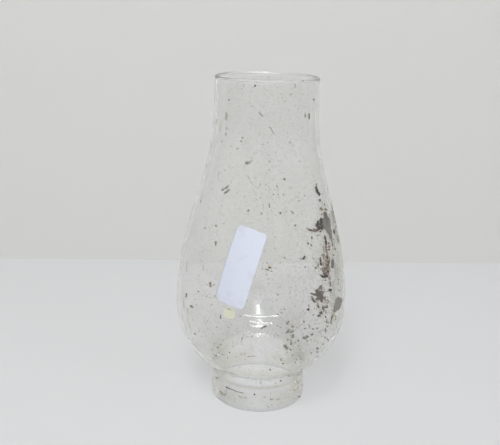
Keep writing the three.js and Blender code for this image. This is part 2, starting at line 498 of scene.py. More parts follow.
# Paper label
# A narrow self-adhesive paper label with rounded corners, stuck on the front of the bulb with its long side
# nearly upright. One corner was snipped a little low, and its edges have begun to lift. It is bare.
label_width = 0.0229
label_length = 0.0568
label_corner = 0.0046
label_height = 0.1276
label_bearing = math.radians(-14)
label_tilt = math.radians(13.4)
label_back_gap = 0.00004
paper_thickness = 0.00016
edge_lift = 0.00022
lift_width = 0.0022
snip_start_share = 0.60
snip_depth = 0.0010
snip_sharpness = 12
snip_fade = 8
ripple_across = 180
ripple_along = 120
ripple_plane = 3.1
label_columns = 26
label_rows = 70
label_colour = (0.590, 0.618, 0.712, 1)
label_dirt_colour = (0.44, 0.42, 0.41, 1)
label_dirt_share = 0.4
label_grain = 140.0
# Dark tone for the dirt on the label and for the painted shade along the dot's fold.
dirt_and_fold_shade_colour = (0.16, 0.15, 0.12, 1)
smudge_place = Vector((0.0012, 0.0085))
smudge_reach = 0.0011
smudge_share = 0.3
edge_dirt_width = 0.0006
edge_dirt_share = 0.35
edge_dirt_grain = 300
edge_dirt_plane = 6.2
paper_detail = 5.0
paper_grain_roughness = 0.6
paper_dirt_start = 0.5
paper_dirt_full = 0.8
paper_roughness = 0.7
paper_gloss = 0.25

lengths = [0.0]
for before, after in zip(outline, outline[1:]):
    lengths.append(lengths[-1] + math.dist(before, after))


def length_at(height):
    """Length along the outside of the glass from the foot up to a height."""
    for i in range(len(outline) - 1):
        low, high = outline[i][1], outline[i + 1][1]
        if high > low and height <= high:
            return lengths[i] + (lengths[i + 1] - lengths[i]) * (height - low) / (high - low)
    return lengths[-1]


def on_outline(length):
    """(radius, height) at a length along the outside, and the direction out of the glass there."""
    for i in range(len(outline) - 1):
        if length <= lengths[i + 1]:
            break
    share = (length - lengths[i]) / (lengths[i + 1] - lengths[i])
    radius, height = (outline[i][k] + (outline[i + 1][k] - outline[i][k]) * share for k in (0, 1))
    below, above = outward(outline, i), outward(outline, i + 1)
    return radius, height, tuple(below[k] + (above[k] - below[k]) * share for k in (0, 1))


label_along = length_at(label_height)


def on_glass(x, y, lift):
    """The point of the bulb x to the right of and y above the label's middle, in the label's own frame."""
    aside = x * math.cos(label_tilt) + y * math.sin(label_tilt)
    upward = y * math.cos(label_tilt) - x * math.sin(label_tilt)
    radius, height, (out_across, out_up) = on_outline(label_along + upward)
    angle = label_bearing + aside / radius
    radius += lift * out_across
    return radius * math.sin(angle), -radius * math.cos(angle), height + lift * out_up


def sheet_of_paper(name, columns, rows, edge_of, lift_of, crease_of, material):
    """A thin closed sheet on the glass. edge_of turns a column's and a row's share, -1 to 1, into (x, y)."""
    points, creases = [], []
    for thickness in (0.0, paper_thickness):
        for j in range(rows + 1):
            for i in range(columns + 1):
                x, y = edge_of(2 * i / columns - 1, 2 * j / rows - 1)
                points.append(on_glass(x, y, label_back_gap + thickness + lift_of(x, y)))
                creases.append(crease_of(x, y))
    faces = []
    width = columns + 1
    front = width * (rows + 1)
    for j in range(rows):
        for i in range(columns):
            a = j * width + i
            faces.append((a + width, a + width + 1, a + 1, a))
            faces.append((front + a, front + a + 1, front + a + width + 1, front + a + width))
    ring = list(range(width))
    ring += [j * width + columns for j in range(1, rows + 1)]
    ring += [rows * width + i for i in range(columns - 1, -1, -1)]
    ring += [j * width for j in range(rows - 1, 0, -1)]
    for here, following in zip(ring, ring[1:] + ring[:1]):
        faces.append((here, following, front + following, front + here))
    sheet = add_mesh(name, points, faces, material)
    sheet.data.attributes.new("crease", "FLOAT", "POINT").data.foreach_set("value", creases)
    return sheet


def paper(name, colour, dirt_colour, dirt_share, grain_scale):
    """Matt paper: dirt gathers in soft patches, and fine grain breaks up the tone."""
    material = new_material(name)
    spot = add_node(material, "ShaderNodeTexCoord")
    patches = add_node(material, "ShaderNodeTexNoise", {
        "Vector": spot.outputs["Object"], "Scale": grain_scale,
        "Detail": paper_detail, "Roughness": paper_grain_roughness})
    dirt = add_node(material, "ShaderNodeMapRange", {
        "Value": patches.outputs["Fac"], "From Min": paper_dirt_start, "From Max": paper_dirt_full,
        "To Min": 0.0, "To Max": dirt_share})
    tone = add_node(material, "ShaderNodeMix", {
        "Factor": dirt.outputs["Result"], 6: colour, 7: dirt_colour}, data_type="RGBA")
    # The crease attribute darkens the paper: dirt on the label, painted shade along the dot's fold.
    crease = add_node(material, "ShaderNodeAttribute", attribute_name="crease")
    creased = add_node(material, "ShaderNodeMix", {
        "Factor": crease.outputs["Fac"], 6: tone.outputs[2], 7: dirt_and_fold_shade_colour}, data_type="RGBA")
    sheet = add_node(material, "ShaderNodeBsdfPrincipled", {
        "Base Color": creased.outputs[2], "Roughness": paper_roughness, "Specular IOR Level": paper_gloss})
    add_node(material, "ShaderNodeOutputMaterial", {"Surface": sheet.outputs[0]})
    return material


def label_edge(across, upward):
    """Rounds the corners of the label and lowers the snipped part of its top edge."""
    half_width, half_length = label_width / 2, label_length / 2
    y = math.sin(upward * math.pi / 2) * half_length
    into_corner = min(label_corner, max(0.0, abs(y) - (half_length - label_corner)))
    inset = label_corner - math.sqrt(label_corner ** 2 - into_corner ** 2)
    x = across * (half_width - inset)
    if upward > 0:
        snip = min(1.0, max(0.0, (across + 1) / 2 - snip_start_share) * snip_sharpness)
        y -= snip * snip_depth * upward ** snip_fade
    return x, y


def label_lift(x, y):
    """The edge of the label has curled up a little, more in some places than in others."""
    half_width, half_length = label_width / 2, label_length / 2
    from_edge = min(half_width - abs(x), half_length - abs(y))
    curl = max(0.0, 1 - from_edge / lift_width) ** 2
    ripple = (1 + noise.noise(Vector((x * ripple_across, y * ripple_along, ripple_plane)))) / 2
    return edge_lift * curl * ripple


def label_smudge(x, y):
    """A thumbed smudge on the paper and dirt along its lifted edges."""
    smudge = max(0.0, 1 - (Vector((x, y)) - smudge_place).length / smudge_reach)
    from_edge = min(label_width / 2 - abs(x), label_length / 2 - abs(y))
    edge_dirt = max(0.0, 1 - from_edge / edge_dirt_width) * edge_dirt_share
    grain = noise.noise(Vector((x * edge_dirt_grain, y * edge_dirt_grain, edge_dirt_plane)))
    return max(smudge * smudge_share, edge_dirt * (1 + grain) / 2)


label_paper = paper("label_paper", label_colour, label_dirt_colour, label_dirt_share, label_grain)
label = sheet_of_paper(
    "bare_paper_label", label_columns, label_rows, label_edge, label_lift, label_smudge, label_paper)
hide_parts("paper_label")
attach(label, "root")

# Dot sticker
# A small round pale yellow sticker just under the label. Its top edge has been pushed up against the label
# and stands off the glass in a narrow fold.
# The fold's shade is painted on the dot as a dark line along it.
dot_diameter = 0.0086
dot_gap = 0.0014
dot_aside = 0.0023
dot_colour = (0.615, 0.62, 0.50, 1)
dot_dirt_colour = (0.45, 0.43, 0.33, 1)
dot_dirt_share = 0.3
dot_grain = 260.0
# The places and widths of the fold are shares of the dot's radius.
fold_start = 0.50
fold_lift = 0.0005
fold_steepness = 1.5
fold_middle = -0.30
fold_height = 0.63
fold_bow = 0.35
fold_width = 0.065
fold_reach = 0.36
fold_fade = 4
fold_shade_share = 1.0
dot_cells = 52
dot_middle = -(label_length + dot_diameter) / 2 - dot_gap


def dot_edge(across, upward):
    """Maps the square of shares onto a round sticker."""
    x = across * math.sqrt(1 - upward ** 2 / 2)
    y = upward * math.sqrt(1 - across ** 2 / 2)
    radius = dot_diameter / 2
    return dot_aside + x * radius, dot_middle + y * radius


def dot_lift(x, y):
    """The top of the sticker stands off the glass."""
    height_share = (y - dot_middle) / (dot_diameter / 2)
    fold = max(0.0, height_share - fold_start) / (1 - fold_start)
    return fold_lift * fold ** fold_steepness


def dot_fold_shade(x, y):
    """A dark line painted along the bow-shaped fold as its shade. The fold runs level although the label
    leans.
    """
    radius = dot_diameter / 2
    aside = (x - dot_aside) / radius - fold_middle
    height_share = (y - dot_middle) / radius
    from_fold = height_share - fold_height - math.tan(label_tilt) * aside - fold_bow * aside ** 2
    fading = max(0.0, 1 - (aside / fold_reach) ** fold_fade)
    return fold_shade_share * fading * math.exp(-(from_fold / fold_width) ** 2)


dot_paper = paper("dot_paper", dot_colour, dot_dirt_colour, dot_dirt_share, dot_grain)
dot = sheet_of_paper("round_dot", dot_cells, dot_cells, dot_edge, dot_lift, dot_fold_shade, dot_paper)
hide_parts("dot_sticker")
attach(dot, "root")

# Soot and dirt
# Years of soot and kitchen dirt, baked on to the outside of the glass and now flaking off it: a trail down
# the right side, loose specks and scratches elsewhere. Each flake is a thin lens that sits on the glass.
# A stroke is a line in the picture and its half width, and a speck is a point and its radius, in pixels.
trail_soot_strokes = (
    # the splinter
    (316.0, 186.9, 317.0, 190.6, 1.25), (317.0, 190.6, 319.4, 194.6, 1.35),
    # the cluster at the chip, and a few bits below and beside it
    (318.2, 222.0, 317.6, 226.4, 1.4), (317.9, 228.0, 319.2, 229.0, 1.4), (321.2, 219.9, 322.0, 222.4, 1.6),
    (320.2, 223.6, 321.2, 225.2, 1.3), (322.2, 225.4, 321.6, 228.6, 1.4), (319.8, 226.8, 320.2, 228.4, 1.1),
    (316.4, 224.0, 316.2, 226.6, 0.7), (320.5, 230.8, 320.4, 232.0, 0.8), (316.2, 229.4, 317.0, 230.6, 0.8),
    (323.6, 273.4, 325.0, 275.4, 1.2), (325.6, 265.0, 326.2, 268.0, 0.9), (333.8, 229.9, 334.2, 233.6, 0.6),
    (332.4, 206.3, 333.5, 213.5, 0.35),
    # the column
    (325.0, 237.0, 325.3, 239.0, 1.1), (325.7, 241.5, 326.2, 243.8, 1.3), (304.5, 256.9, 303.4, 259.0, 1.0),
    (320.3, 258.4, 320.9, 264.6, 0.9), (326.9, 256.2, 327.2, 258.8, 0.9), (324.6, 268.8, 325.4, 270.6, 1.1),
    (328.4, 262.0, 328.2, 266.0, 0.8), (327.6, 270.0, 327.9, 272.4, 0.9), (325.0, 276.6, 327.4, 276.0, 1.5),
    (321.5, 275.6, 322.8, 276.8, 1.3),
    # round the second cluster
    (329.4, 290.4, 331.0, 289.6, 1.0), (309.0, 304.2, 307.9, 306.4, 0.3), (334.6, 308.6, 333.6, 311.0, 0.7),
    (323.0, 307.0, 323.0, 309.4, 0.8), (320.6, 312.8, 321.8, 312.2, 0.9),
)
collar_soot_strokes = (
    (226.4, 387.0, 229.4, 388.6, 0.6), (229.4, 388.6, 235.0, 390.8, 0.33),
    (236.4, 391.4, 244.0, 393.4, 0.25),
)
soot_specks = (
    (319.9, 200.4, 0.9), (326.0, 209.3, 0.8), (322.1, 214.0, 0.6), (308.0, 243.8, 1.0), (310.8, 245.0, 0.8),
    (320.3, 243.8, 0.8), (338.3, 237.5, 0.7), (334.6, 248.9, 0.8), (305.5, 266.6, 0.8), (327.4, 253.5, 0.9),
    (333.7, 254.8, 0.8), (325.3, 280.3, 0.6), (308.3, 309.6, 1.3), (318.3, 306.9, 0.9), (326.9, 307.4, 1.1),
    (318.6, 315.8, 1.2), (325.6, 316.8, 0.8), (335.0, 319.7, 0.8), (327.2, 325.8, 0.8),
    (288.9, 321.7, 0.8), (254.6, 394.6, 1.0), (255.0, 85.9, 0.8), (229.1, 99.7, 0.8), (338.5, 279.4, 0.7),
)
char_strokes = (
    # the second cluster
    (317.9, 293.6, 321.0, 298.2, 3.0), (320.0, 297.6, 321.4, 300.6, 1.6), (311.4, 293.3, 315.8, 295.0, 1.0),
    (316.0, 290.8, 320.4, 287.6, 0.9), (320.2, 291.4, 323.2, 292.0, 1.2), (312.4, 298.8, 314.0, 301.0, 1.3),
    (316.4, 298.6, 317.0, 299.6, 1.1), (311.8, 297.0, 312.6, 298.0, 0.8), (322.2, 294.0, 322.8, 297.0, 1.1),
    (319.6, 286.4, 321.6, 289.4, 0.6),
)
umber_strokes = (
    # brown bits above and left of the cluster
    (320.8, 207.8, 321.8, 209.6, 1.3), (325.6, 209.2, 326.4, 210.6, 0.9), (324.6, 211.6, 325.4, 213.0, 0.8),
    (307.9, 228.6, 309.6, 229.8, 0.9), (310.6, 229.8, 313.0, 230.8, 1.0), (313.8, 229.4, 315.4, 231.6, 1.2),
    (311.9, 236.6, 311.9, 239.0, 0.5), (328.4, 243.4, 328.9, 249.6, 0.8), (325.6, 246.0, 326.2, 250.5, 0.9),
    (323.4, 247.5, 324.0, 251.5, 0.5), (327.2, 250.6, 327.0, 254.6, 0.9), (331.4, 237.6, 332.2, 246.0, 0.6),
    # the body of the column
    (323.4, 254.4, 323.8, 259.6, 0.9), (325.8, 257.0, 326.2, 263.4, 1.2), (322.8, 262.6, 323.2, 266.0, 0.6),
    (325.8, 264.4, 326.2, 270.0, 1.8), (328.8, 256.4, 329.0, 263.0, 0.7), (328.9, 265.4, 328.8, 272.0, 0.8),
    (323.6, 269.6, 326.4, 273.8, 1.9), (329.2, 276.0, 329.9, 279.0, 0.7), (329.9, 280.2, 330.5, 286.0, 0.8),
    (321.0, 285.4, 321.3, 287.4, 0.8), (328.2, 273.6, 329.4, 277.6, 1.0), (319.0, 261.6, 318.4, 267.4, 0.5),
    # round the second cluster
    (324.6, 297.0, 325.4, 300.4, 0.8),
    (311.4, 297.2, 313.0, 298.6, 0.8), (328.6, 300.8, 327.2, 302.6, 0.7), (316.6, 302.0, 318.4, 304.0, 0.6),
    (326.8, 305.6, 325.2, 308.6, 0.8), (324.8, 309.8, 322.8, 312.2, 0.9), (321.4, 313.2, 319.2, 316.2, 1.1),
    (326.4, 311.0, 326.0, 314.0, 0.6), (333.0, 313.6, 332.4, 317.0, 0.8),
    (331.8, 317.8, 330.9, 322.4, 0.7), (317.6, 305.0, 318.0, 307.4, 0.7),
)
umber_specks = (
    (301.2, 258.9, 0.9), (303.6, 321.7, 0.7), (284.8, 179.5, 1.0), (280.3, 212.7, 1.0), (266.8, 263.5, 0.7),
    (270.2, 267.3, 1.4), (262.2, 269.2, 0.6), (266.4, 275.0, 0.7), (276.0, 267.7, 0.6), (328.0, 291.0, 0.7),
    (295.0, 225.6, 0.6), (191.0, 306.5, 1.0), (333.5, 239.6, 0.6), (314.0, 302.8, 0.5), (330.2, 295.4, 0.6),
)
chip_strokes = (
    (325.2, 213.4, 325.8, 218.8, 1.9), (326.4, 220.4, 326.9, 226.4, 3.8), (327.8, 228.0, 329.2, 231.6, 2.6),
    (329.8, 233.0, 331.0, 238.0, 1.5), (332.6, 260.8, 332.6, 266.8, 1.5),
)
olive_strokes = ((338.8, 300.4, 337.0, 306.4, 3.5), (335.8, 308.2, 334.2, 311.0, 1.7))
olive_specks = ((339.6, 290.4, 0.7), (341.0, 288.0, 0.5))
trail_grit_strokes = (
    # grey-brown grit under the trail and beside it
    (288.8, 330.4, 286.6, 332.8, 1.5), (291.2, 331.9, 292.8, 331.7, 1.0), (291.4, 341.0, 290.6, 344.0, 0.9),
    (284.6, 345.6, 286.6, 347.8, 1.3), (303.6, 338.1, 307.6, 337.0, 1.3), (325.9, 328.0, 325.7, 332.2, 0.5),
    (327.0, 319.0, 326.6, 322.4, 0.5), (315.2, 268.0, 317.6, 265.6, 0.5), (317.0, 235.4, 318.0, 235.8, 0.6),
)
loose_grit_strokes = (
    # flakes and scratches on the neck and the shoulder, and all over the bulb
    (222.6, 190.0, 224.4, 188.8, 1.0), (225.2, 188.4, 227.6, 186.6, 1.0), (225.4, 192.8, 226.8, 191.8, 1.1),
    (227.2, 191.6, 228.4, 190.2, 1.2), (246.4, 163.2, 248.6, 162.6, 1.2),
    (269.8, 127.0, 271.4, 129.6, 0.5), (272.0, 130.6, 274.6, 134.8, 0.35), (260.0, 113.2, 262.4, 116.2, 0.5),
    (309.0, 114.4, 309.0, 118.6, 0.9), (305.0, 113.2, 305.2, 116.8, 0.6), (295.0, 84.6, 295.0, 88.0, 0.5),
    (290.6, 210.2, 293.4, 213.8, 0.5), (269.5, 204.6, 269.6, 207.2, 0.6), (215.9, 242.0, 215.7, 244.8, 0.9),
    (210.0, 283.2, 210.4, 286.0, 1.2), (186.2, 294.0, 186.0, 296.6, 0.8), (190.4, 305.8, 192.0, 307.0, 1.0),
    (261.6, 328.3, 265.8, 326.2, 0.8), (220.6, 315.4, 220.6, 317.6, 0.7), (204.4, 228.3, 205.4, 228.3, 0.8),
    (266.0, 269.4, 268.4, 269.8, 0.7), (271.0, 271.0, 272.2, 271.6, 0.6), (299.4, 396.8, 299.8, 398.4, 0.7),
)
grit_specks = (
    (324.7, 204.7, 0.8), (322.1, 202.5, 0.5), (322.4, 194.3, 0.5), (327.4, 188.6, 0.6), (304.6, 187.9, 0.6),
    (304.6, 195.6, 0.7), (298.7, 200.8, 0.7), (299.3, 192.5, 0.5), (316.7, 257.5, 0.5), (314.0, 258.7, 0.6),
    (286.7, 323.3, 1.0), (292.8, 326.4, 1.2), (296.9, 327.2, 0.9), (292.5, 336.4, 1.6), (298.6, 340.3, 1.0),
    (309.7, 326.7, 1.0), (313.1, 329.4, 0.8), (317.2, 328.9, 1.1), (311.9, 334.4, 0.9), (305.0, 328.3, 0.8),
    (287.8, 339.4, 0.8), (295.3, 342.8, 0.8), (290.6, 349.7, 0.8), (281.4, 360.0, 1.0), (283.0, 363.6, 0.8),
    (300.3, 357.2, 1.0), (297.0, 360.0, 0.8), (295.6, 362.0, 0.7), (318.2, 348.3, 1.0), (317.6, 352.5, 0.8),
    (328.0, 339.8, 1.0), (325.4, 337.4, 0.8), (321.7, 336.1, 0.5), (295.0, 322.6, 0.8), (286.7, 328.0, 0.6),
    (308.3, 324.7, 0.6), (295.5, 329.7, 0.6), (284.5, 308.8, 0.8), (281.4, 312.8, 0.6), (277.9, 314.3, 0.7),
    (280.3, 317.5, 0.5), (252.5, 106.4, 0.8), (260.0, 113.4, 0.7), (314.1, 99.7, 0.8), (303.0, 81.0, 0.7),
    (290.9, 94.5, 0.6), (282.3, 98.2, 0.6), (284.5, 101.4, 0.6), (236.8, 114.4, 0.6), (222.0, 141.5, 0.6),
    (242.7, 137.3, 0.9), (241.1, 141.5, 0.7), (237.3, 148.8, 0.8), (247.7, 156.4, 0.5), (290.0, 142.3, 0.7),
    (263.6, 144.5, 0.5), (269.1, 161.8, 0.7), (269.5, 169.7, 0.7), (299.5, 161.4, 0.7), (290.9, 187.9, 0.6),
    (277.3, 186.8, 0.6), (278.2, 189.5, 0.6), (273.2, 194.4, 0.6), (277.7, 194.1, 0.6), (283.2, 194.7, 0.6),
    (298.2, 197.3, 0.6), (256.8, 199.3, 0.5), (240.9, 209.3, 0.6), (248.2, 210.0, 0.9), (261.6, 213.6, 0.9),
    (295.9, 225.5, 0.7), (200.9, 201.4, 0.8), (216.6, 198.0, 0.5), (216.2, 226.0, 0.9), (199.0, 244.6, 0.5),
    (198.5, 291.5, 0.7), (214.8, 296.2, 0.8), (196.4, 305.0, 0.6), (207.2, 320.8, 0.6), (194.8, 333.5, 0.9),
    (199.0, 331.2, 0.7), (242.2, 338.5, 0.9), (274.8, 248.7, 0.8), (284.8, 257.7, 1.0), (277.5, 294.6, 0.9),
    (240.6, 316.5, 0.6), (220.8, 345.0, 0.9), (218.0, 347.5, 0.7), (222.5, 354.2, 0.8),
    (270.0, 369.8, 0.9), (280.8, 380.8, 0.8), (216.7, 378.0, 0.7), (260.4, 382.9, 0.5), (289.2, 376.2, 0.5),
    (214.0, 284.6, 0.6), (265.2, 269.6, 0.7), (231.4, 324.2, 0.5), (306.7, 345.0, 0.6), (311.0, 353.0, 0.8),
)
faint_strokes = (
    (186.6, 261.0, 186.5, 266.0, 0.3), (186.4, 267.6, 186.5, 272.0, 0.3), (203.3, 265.0, 203.3, 270.0, 0.3),
    (187.3, 307.6, 188.0, 315.0, 0.3), (270.6, 399.3, 273.6, 399.3, 0.5), (276.6, 399.2, 279.8, 399.0, 0.5),
    (243.8, 397.2, 246.6, 397.8, 0.5), (220.8, 121.6, 219.8, 132.0, 0.25),
    (219.8, 391.4, 222.6, 392.8, 0.8), (221.2, 393.6, 225.6, 395.2, 1.0), (224.8, 392.0, 226.8, 393.8, 0.6),
    (239.0, 396.4, 241.6, 397.4, 0.6), (263.0, 396.6, 266.0, 397.4, 0.4),
    (249.0, 162.2, 252.6, 160.6, 0.8), (226.4, 113.4, 226.5, 119.2, 1.1), (226.2, 127.0, 226.3, 129.2, 0.9),
    (225.9, 132.8, 225.8, 135.0, 0.8), (216.2, 119.6, 215.8, 124.0, 0.3),
    (247.6, 175.6, 249.6, 179.6, 0.35), (250.4, 181.4, 253.0, 184.8, 0.35),
    (254.6, 186.2, 258.6, 188.2, 0.35), (259.6, 187.0, 260.6, 183.4, 0.3), (219.4, 171.0, 218.0, 180.0, 0.3),
    (183.2, 298.0, 184.0, 308.0, 0.25), (188.8, 323.0, 191.2, 331.0, 0.25),
    (334.2, 215.0, 335.4, 222.4, 0.9), (332.6, 211.0, 333.4, 217.0, 0.6), (336.6, 216.4, 337.6, 222.8, 0.6),
    (337.8, 235.6, 338.8, 242.4, 0.8), (335.0, 227.6, 336.0, 234.0, 0.6), (333.6, 240.0, 334.4, 250.0, 0.6),
    (334.6, 262.0, 335.4, 276.0, 0.5), (337.4, 266.0, 338.2, 284.0, 0.4), (331.6, 214.0, 333.8, 226.0, 0.4),
    (335.6, 226.0, 337.0, 240.0, 0.4), (333.0, 285.0, 334.2, 296.0, 0.4), (331.8, 246.0, 332.6, 258.0, 0.4),
)
faint_specks = (
    (239.4, 350.2, 0.7), (229.8, 352.6, 0.8), (224.4, 349.2, 0.6), (233.0, 346.2, 0.5), (212.0, 350.0, 0.6),
    (216.0, 355.6, 0.7), (227.6, 358.2, 0.6), (236.4, 357.0, 0.5), (300.0, 349.8, 0.7), (305.4, 351.2, 0.7),
    (292.4, 355.0, 0.6), (308.8, 344.4, 0.6), (287.0, 352.4, 0.6), (303.0, 333.4, 0.6), (300.2, 326.0, 0.6),
    (310.6, 340.2, 0.5), (315.0, 323.8, 0.6), (319.6, 331.6, 0.6), (323.2, 344.2, 0.6), (298.4, 345.8, 0.6),
)
tan_strokes = (
    (290.0, 321.6, 292.6, 323.2, 1.3), (240.5, 354.5, 246.0, 353.5, 0.5),
    (248.0, 356.5, 255.0, 355.8, 0.5), (323.6, 210.4, 324.6, 211.2, 0.7), (333.6, 315.6, 336.0, 316.4, 1.3),
    (268.6, 265.4, 271.8, 266.0, 1.2), (330.6, 302.0, 331.4, 306.0, 0.5),
)
tan_specks = (
    (244.1, 91.5, 0.5), (259.1, 167.0, 0.6), (278.2, 161.2, 0.6), (270.9, 222.3, 0.6), (217.2, 327.0, 0.7),
    (228.7, 327.7, 0.7), (214.5, 343.8, 1.0), (220.0, 345.8, 0.8), (279.0, 287.0, 0.6), (275.8, 383.3, 0.6),
    (252.2, 336.5, 0.7), (275.5, 333.9, 0.6), (321.6, 272.6, 0.6), (327.4, 297.6, 0.8),
    (292.6, 386.4, 0.8), (295.8, 384.2, 0.7), (294.4, 390.0, 0.8), (290.2, 389.4, 0.6), (297.4, 388.6, 0.7),
    (222.6, 392.2, 0.5), (224.6, 394.6, 0.6),
)
lattice_step = 0.3
deepest_outside = -1.0
rag_coarse_share = 0.75
rag_fine_share = 0.95
coarse_scale = 0.55
coarse_plane = 1.7
fine_scale = 1.15
fine_plane = 8.3
rag_reach = 1.2
crumbs_per_pixel = 0.65
crumb_spread = 1.6
crumb_smallest = 0.18
crumb_largest = 0.55
flake_gap = 0.00002
flake_thickness = 0.00022
flake_slope = 1.2
crust_detail = 6.0
crust_grain_roughness = 0.65
crust_start = 0.38
crust_full = 0.62
crust_gloss = 0.3


def lattice_range(start, end):
    """The lattice's columns or rows that hold a stretch of the picture, with one to spare."""
    return range(int(start / lattice_step), int(end / lattice_step) + 2)


def lattice_values(strokes, ragged):
    """How deep each lattice point of the picture lies inside the strokes, in pixels, with ragged edges."""
    values = {}
    for x0, y0, x1, y1, half_width in strokes:
        reach = half_width + rag_reach
        run = Vector((x1 - x0, y1 - y0))
        columns = lattice_range(min(x0, x1) - reach, max(x0, x1) + reach)
        rows = lattice_range(min(y0, y1) - reach, max(y0, y1) + reach)
        for i in columns:
            for j in rows:
                spot = Vector((i, j)) * lattice_step
                from_start = spot - Vector((x0, y0))
                share = max(0.0, min(1.0, from_start.dot(run) / run.length_squared)) if run.length else 0.0
                coarse = noise.noise(Vector((spot.x * coarse_scale, spot.y * coarse_scale, coarse_plane)))
                fine = noise.noise(Vector((spot.x * fine_scale, spot.y * fine_scale, fine_plane)))
                rag = ragged * (rag_coarse_share * coarse + rag_fine_share * fine) * min(1.0, half_width)
                depth = half_width - (from_start - run * share).length + rag
                values[i, j] = max(values.get((i, j), deepest_outside), depth)
    return values


def crumbs(strokes, seed):
    """Specks that have broken off round the strokes."""
    chance = random.Random(seed)
    broken = []
    for x0, y0, x1, y1, half_width in strokes:
        for _ in range(round(crumbs_per_pixel * (math.hypot(x1 - x0, y1 - y0) + 2 * half_width))):
            share = chance.random()
            away = chance.gauss(0, half_width + crumb_spread)
            along = chance.gauss(0, half_width + crumb_spread)
            broken.append((x0 + (x1 - x0) * share + away, y0 + (y1 - y0) * share + along,
                           chance.uniform(crumb_smallest, crumb_largest)))
    return tuple(broken)


def flakes(name, strokes, specks, material, ragged):
    """Cuts the strokes out of the lattice cell by cell and lays them on the glass as thin closed lenses."""
    values = lattice_values(strokes + tuple((x, y, x, y, radius) for x, y, radius in specks), ragged)
    points, faces, known = [], [], {}

    def add_point(key, x, y, lift):
        """The number of the point on the glass behind (x, y), or None where there is no glass."""
        if key not in known:
            place, out = hit_on_glass(x, y)
            known[key] = None if place is None else len(points)
            if place is not None:
                points.append(place + out * (flake_gap + lift))
        return known[key]

    corners = ((0, 0), (1, 0), (1, 1), (0, 1))
    for i, j in values:
        cell = [(i + a, j + b) for a, b in corners]
        if any(corner not in values for corner in cell) or all(values[corner] <= 0 for corner in cell):
            continue
        front, back = [], []
        for k, here in enumerate(cell):
            following = cell[(k + 1) % len(cell)]
            if values[here] > 0:
                rise = flake_thickness * (1 - math.exp(-values[here] * flake_slope))
                place = (here[0] * lattice_step, here[1] * lattice_step)
                front.append(add_point((here, "front"), *place, rise))
                back.append(add_point((here, "back"), *place, 0.0))
            if (values[here] > 0) != (values[following] > 0):
                share = values[here] / (values[here] - values[following])
                x = (here[0] + (following[0] - here[0]) * share) * lattice_step
                y = (here[1] + (following[1] - here[1]) * share) * lattice_step
                edge = add_point((min(here, following), max(here, following)), x, y, 0.0)
                front.append(edge)
                back.append(edge)
        if None not in front and len(front) > 2:
            faces.append(front[::-1])
            faces.append(back)
    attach(add_mesh(name, points, faces, material), "root")


def crust(name, dark, light, roughness, scale):
    """Baked-on dirt whose tone wanders from flake to flake, with a fine grain."""
    material = new_material(name)
    spot = add_node(material, "ShaderNodeTexCoord")
    wander = add_node(material, "ShaderNodeTexNoise", {
        "Vector": spot.outputs["Object"], "Scale": scale,
        "Detail": crust_detail, "Roughness": crust_grain_roughness})
    share = add_node(material, "ShaderNodeMapRange", {
        "Value": wander.outputs["Fac"], "From Min": crust_start, "From Max": crust_full})
    tone = add_node(material, "ShaderNodeMix", {
        "Factor": share.outputs["Result"], 6: dark, 7: light}, data_type="RGBA")
    shader = add_node(material, "ShaderNodeBsdfPrincipled", {
        "Base Color": tone.outputs[2], "Roughness": roughness, "Specular IOR Level": crust_gloss})
    add_node(material, "ShaderNodeOutputMaterial", {"Surface": shader.outputs[0]})
    return material


crusts = (
    # name, dark tone, light tone, roughness, scale of the grain
    ("soot", (0.032, 0.029, 0.028, 1), (0.12, 0.105, 0.097, 1), 0.8, 1200.0),
    ("char", (0.07, 0.062, 0.058, 1), (0.20, 0.18, 0.165, 1), 0.8, 1000.0),
    ("umber", (0.055, 0.046, 0.037, 1), (0.37, 0.32, 0.265, 1), 0.8, 650.0),
    ("chip", (0.135, 0.122, 0.125, 1), (0.205, 0.20, 0.175, 1), 0.5, 90.0),
    ("olive_crust", (0.18, 0.178, 0.153, 1), (0.28, 0.277, 0.24, 1), 0.5, 260.0),
    ("grit", (0.15, 0.14, 0.12, 1), (0.33, 0.31, 0.27, 1), 0.7, 700.0),
    ("faint_film", (0.30, 0.29, 0.25, 1), (0.46, 0.45, 0.40, 1), 0.7, 700.0),
    ("tan", (0.42, 0.38, 0.31, 1), (0.54, 0.50, 0.43, 1), 0.7, 500.0),
)
char_seed = 3
brown_seed = 5
grit_seed = 9
soot_strokes = trail_soot_strokes + collar_soot_strokes
grit_strokes = trail_grit_strokes + loose_grit_strokes
char_crumbs = crumbs(char_strokes, char_seed)
brown_crumbs = crumbs(trail_soot_strokes + umber_strokes, brown_seed)
grit_crumbs = crumbs(trail_grit_strokes, grit_seed)
deposits = (
    # piece, strokes, specks, crust, how ragged its edges are
    ("black_soot", soot_strokes, soot_specks, "soot", 1.0),
    ("grey_char", char_strokes, char_crumbs, "char", 0.95),
    ("brown_soot", umber_strokes, umber_specks + brown_crumbs, "umber", 1.6),
    ("smooth_chips", chip_strokes, (), "chip", 0.35),
    ("olive_chips", olive_strokes, olive_specks, "olive_crust", 0.45),
    ("grey_grit", grit_strokes, grit_specks + grit_crumbs, "grit", 1.3),
    ("faint_marks", faint_strokes, faint_specks, "faint_film", 0.9),
    ("tan_crust", tan_strokes, tan_specks, "tan", 1.0),
)
crust_materials = {name: crust(name, *finish) for name, *finish in crusts}
for name, strokes, specks, finish, ragged in deposits:
    flakes(name, strokes, specks, crust_materials[finish], ragged)

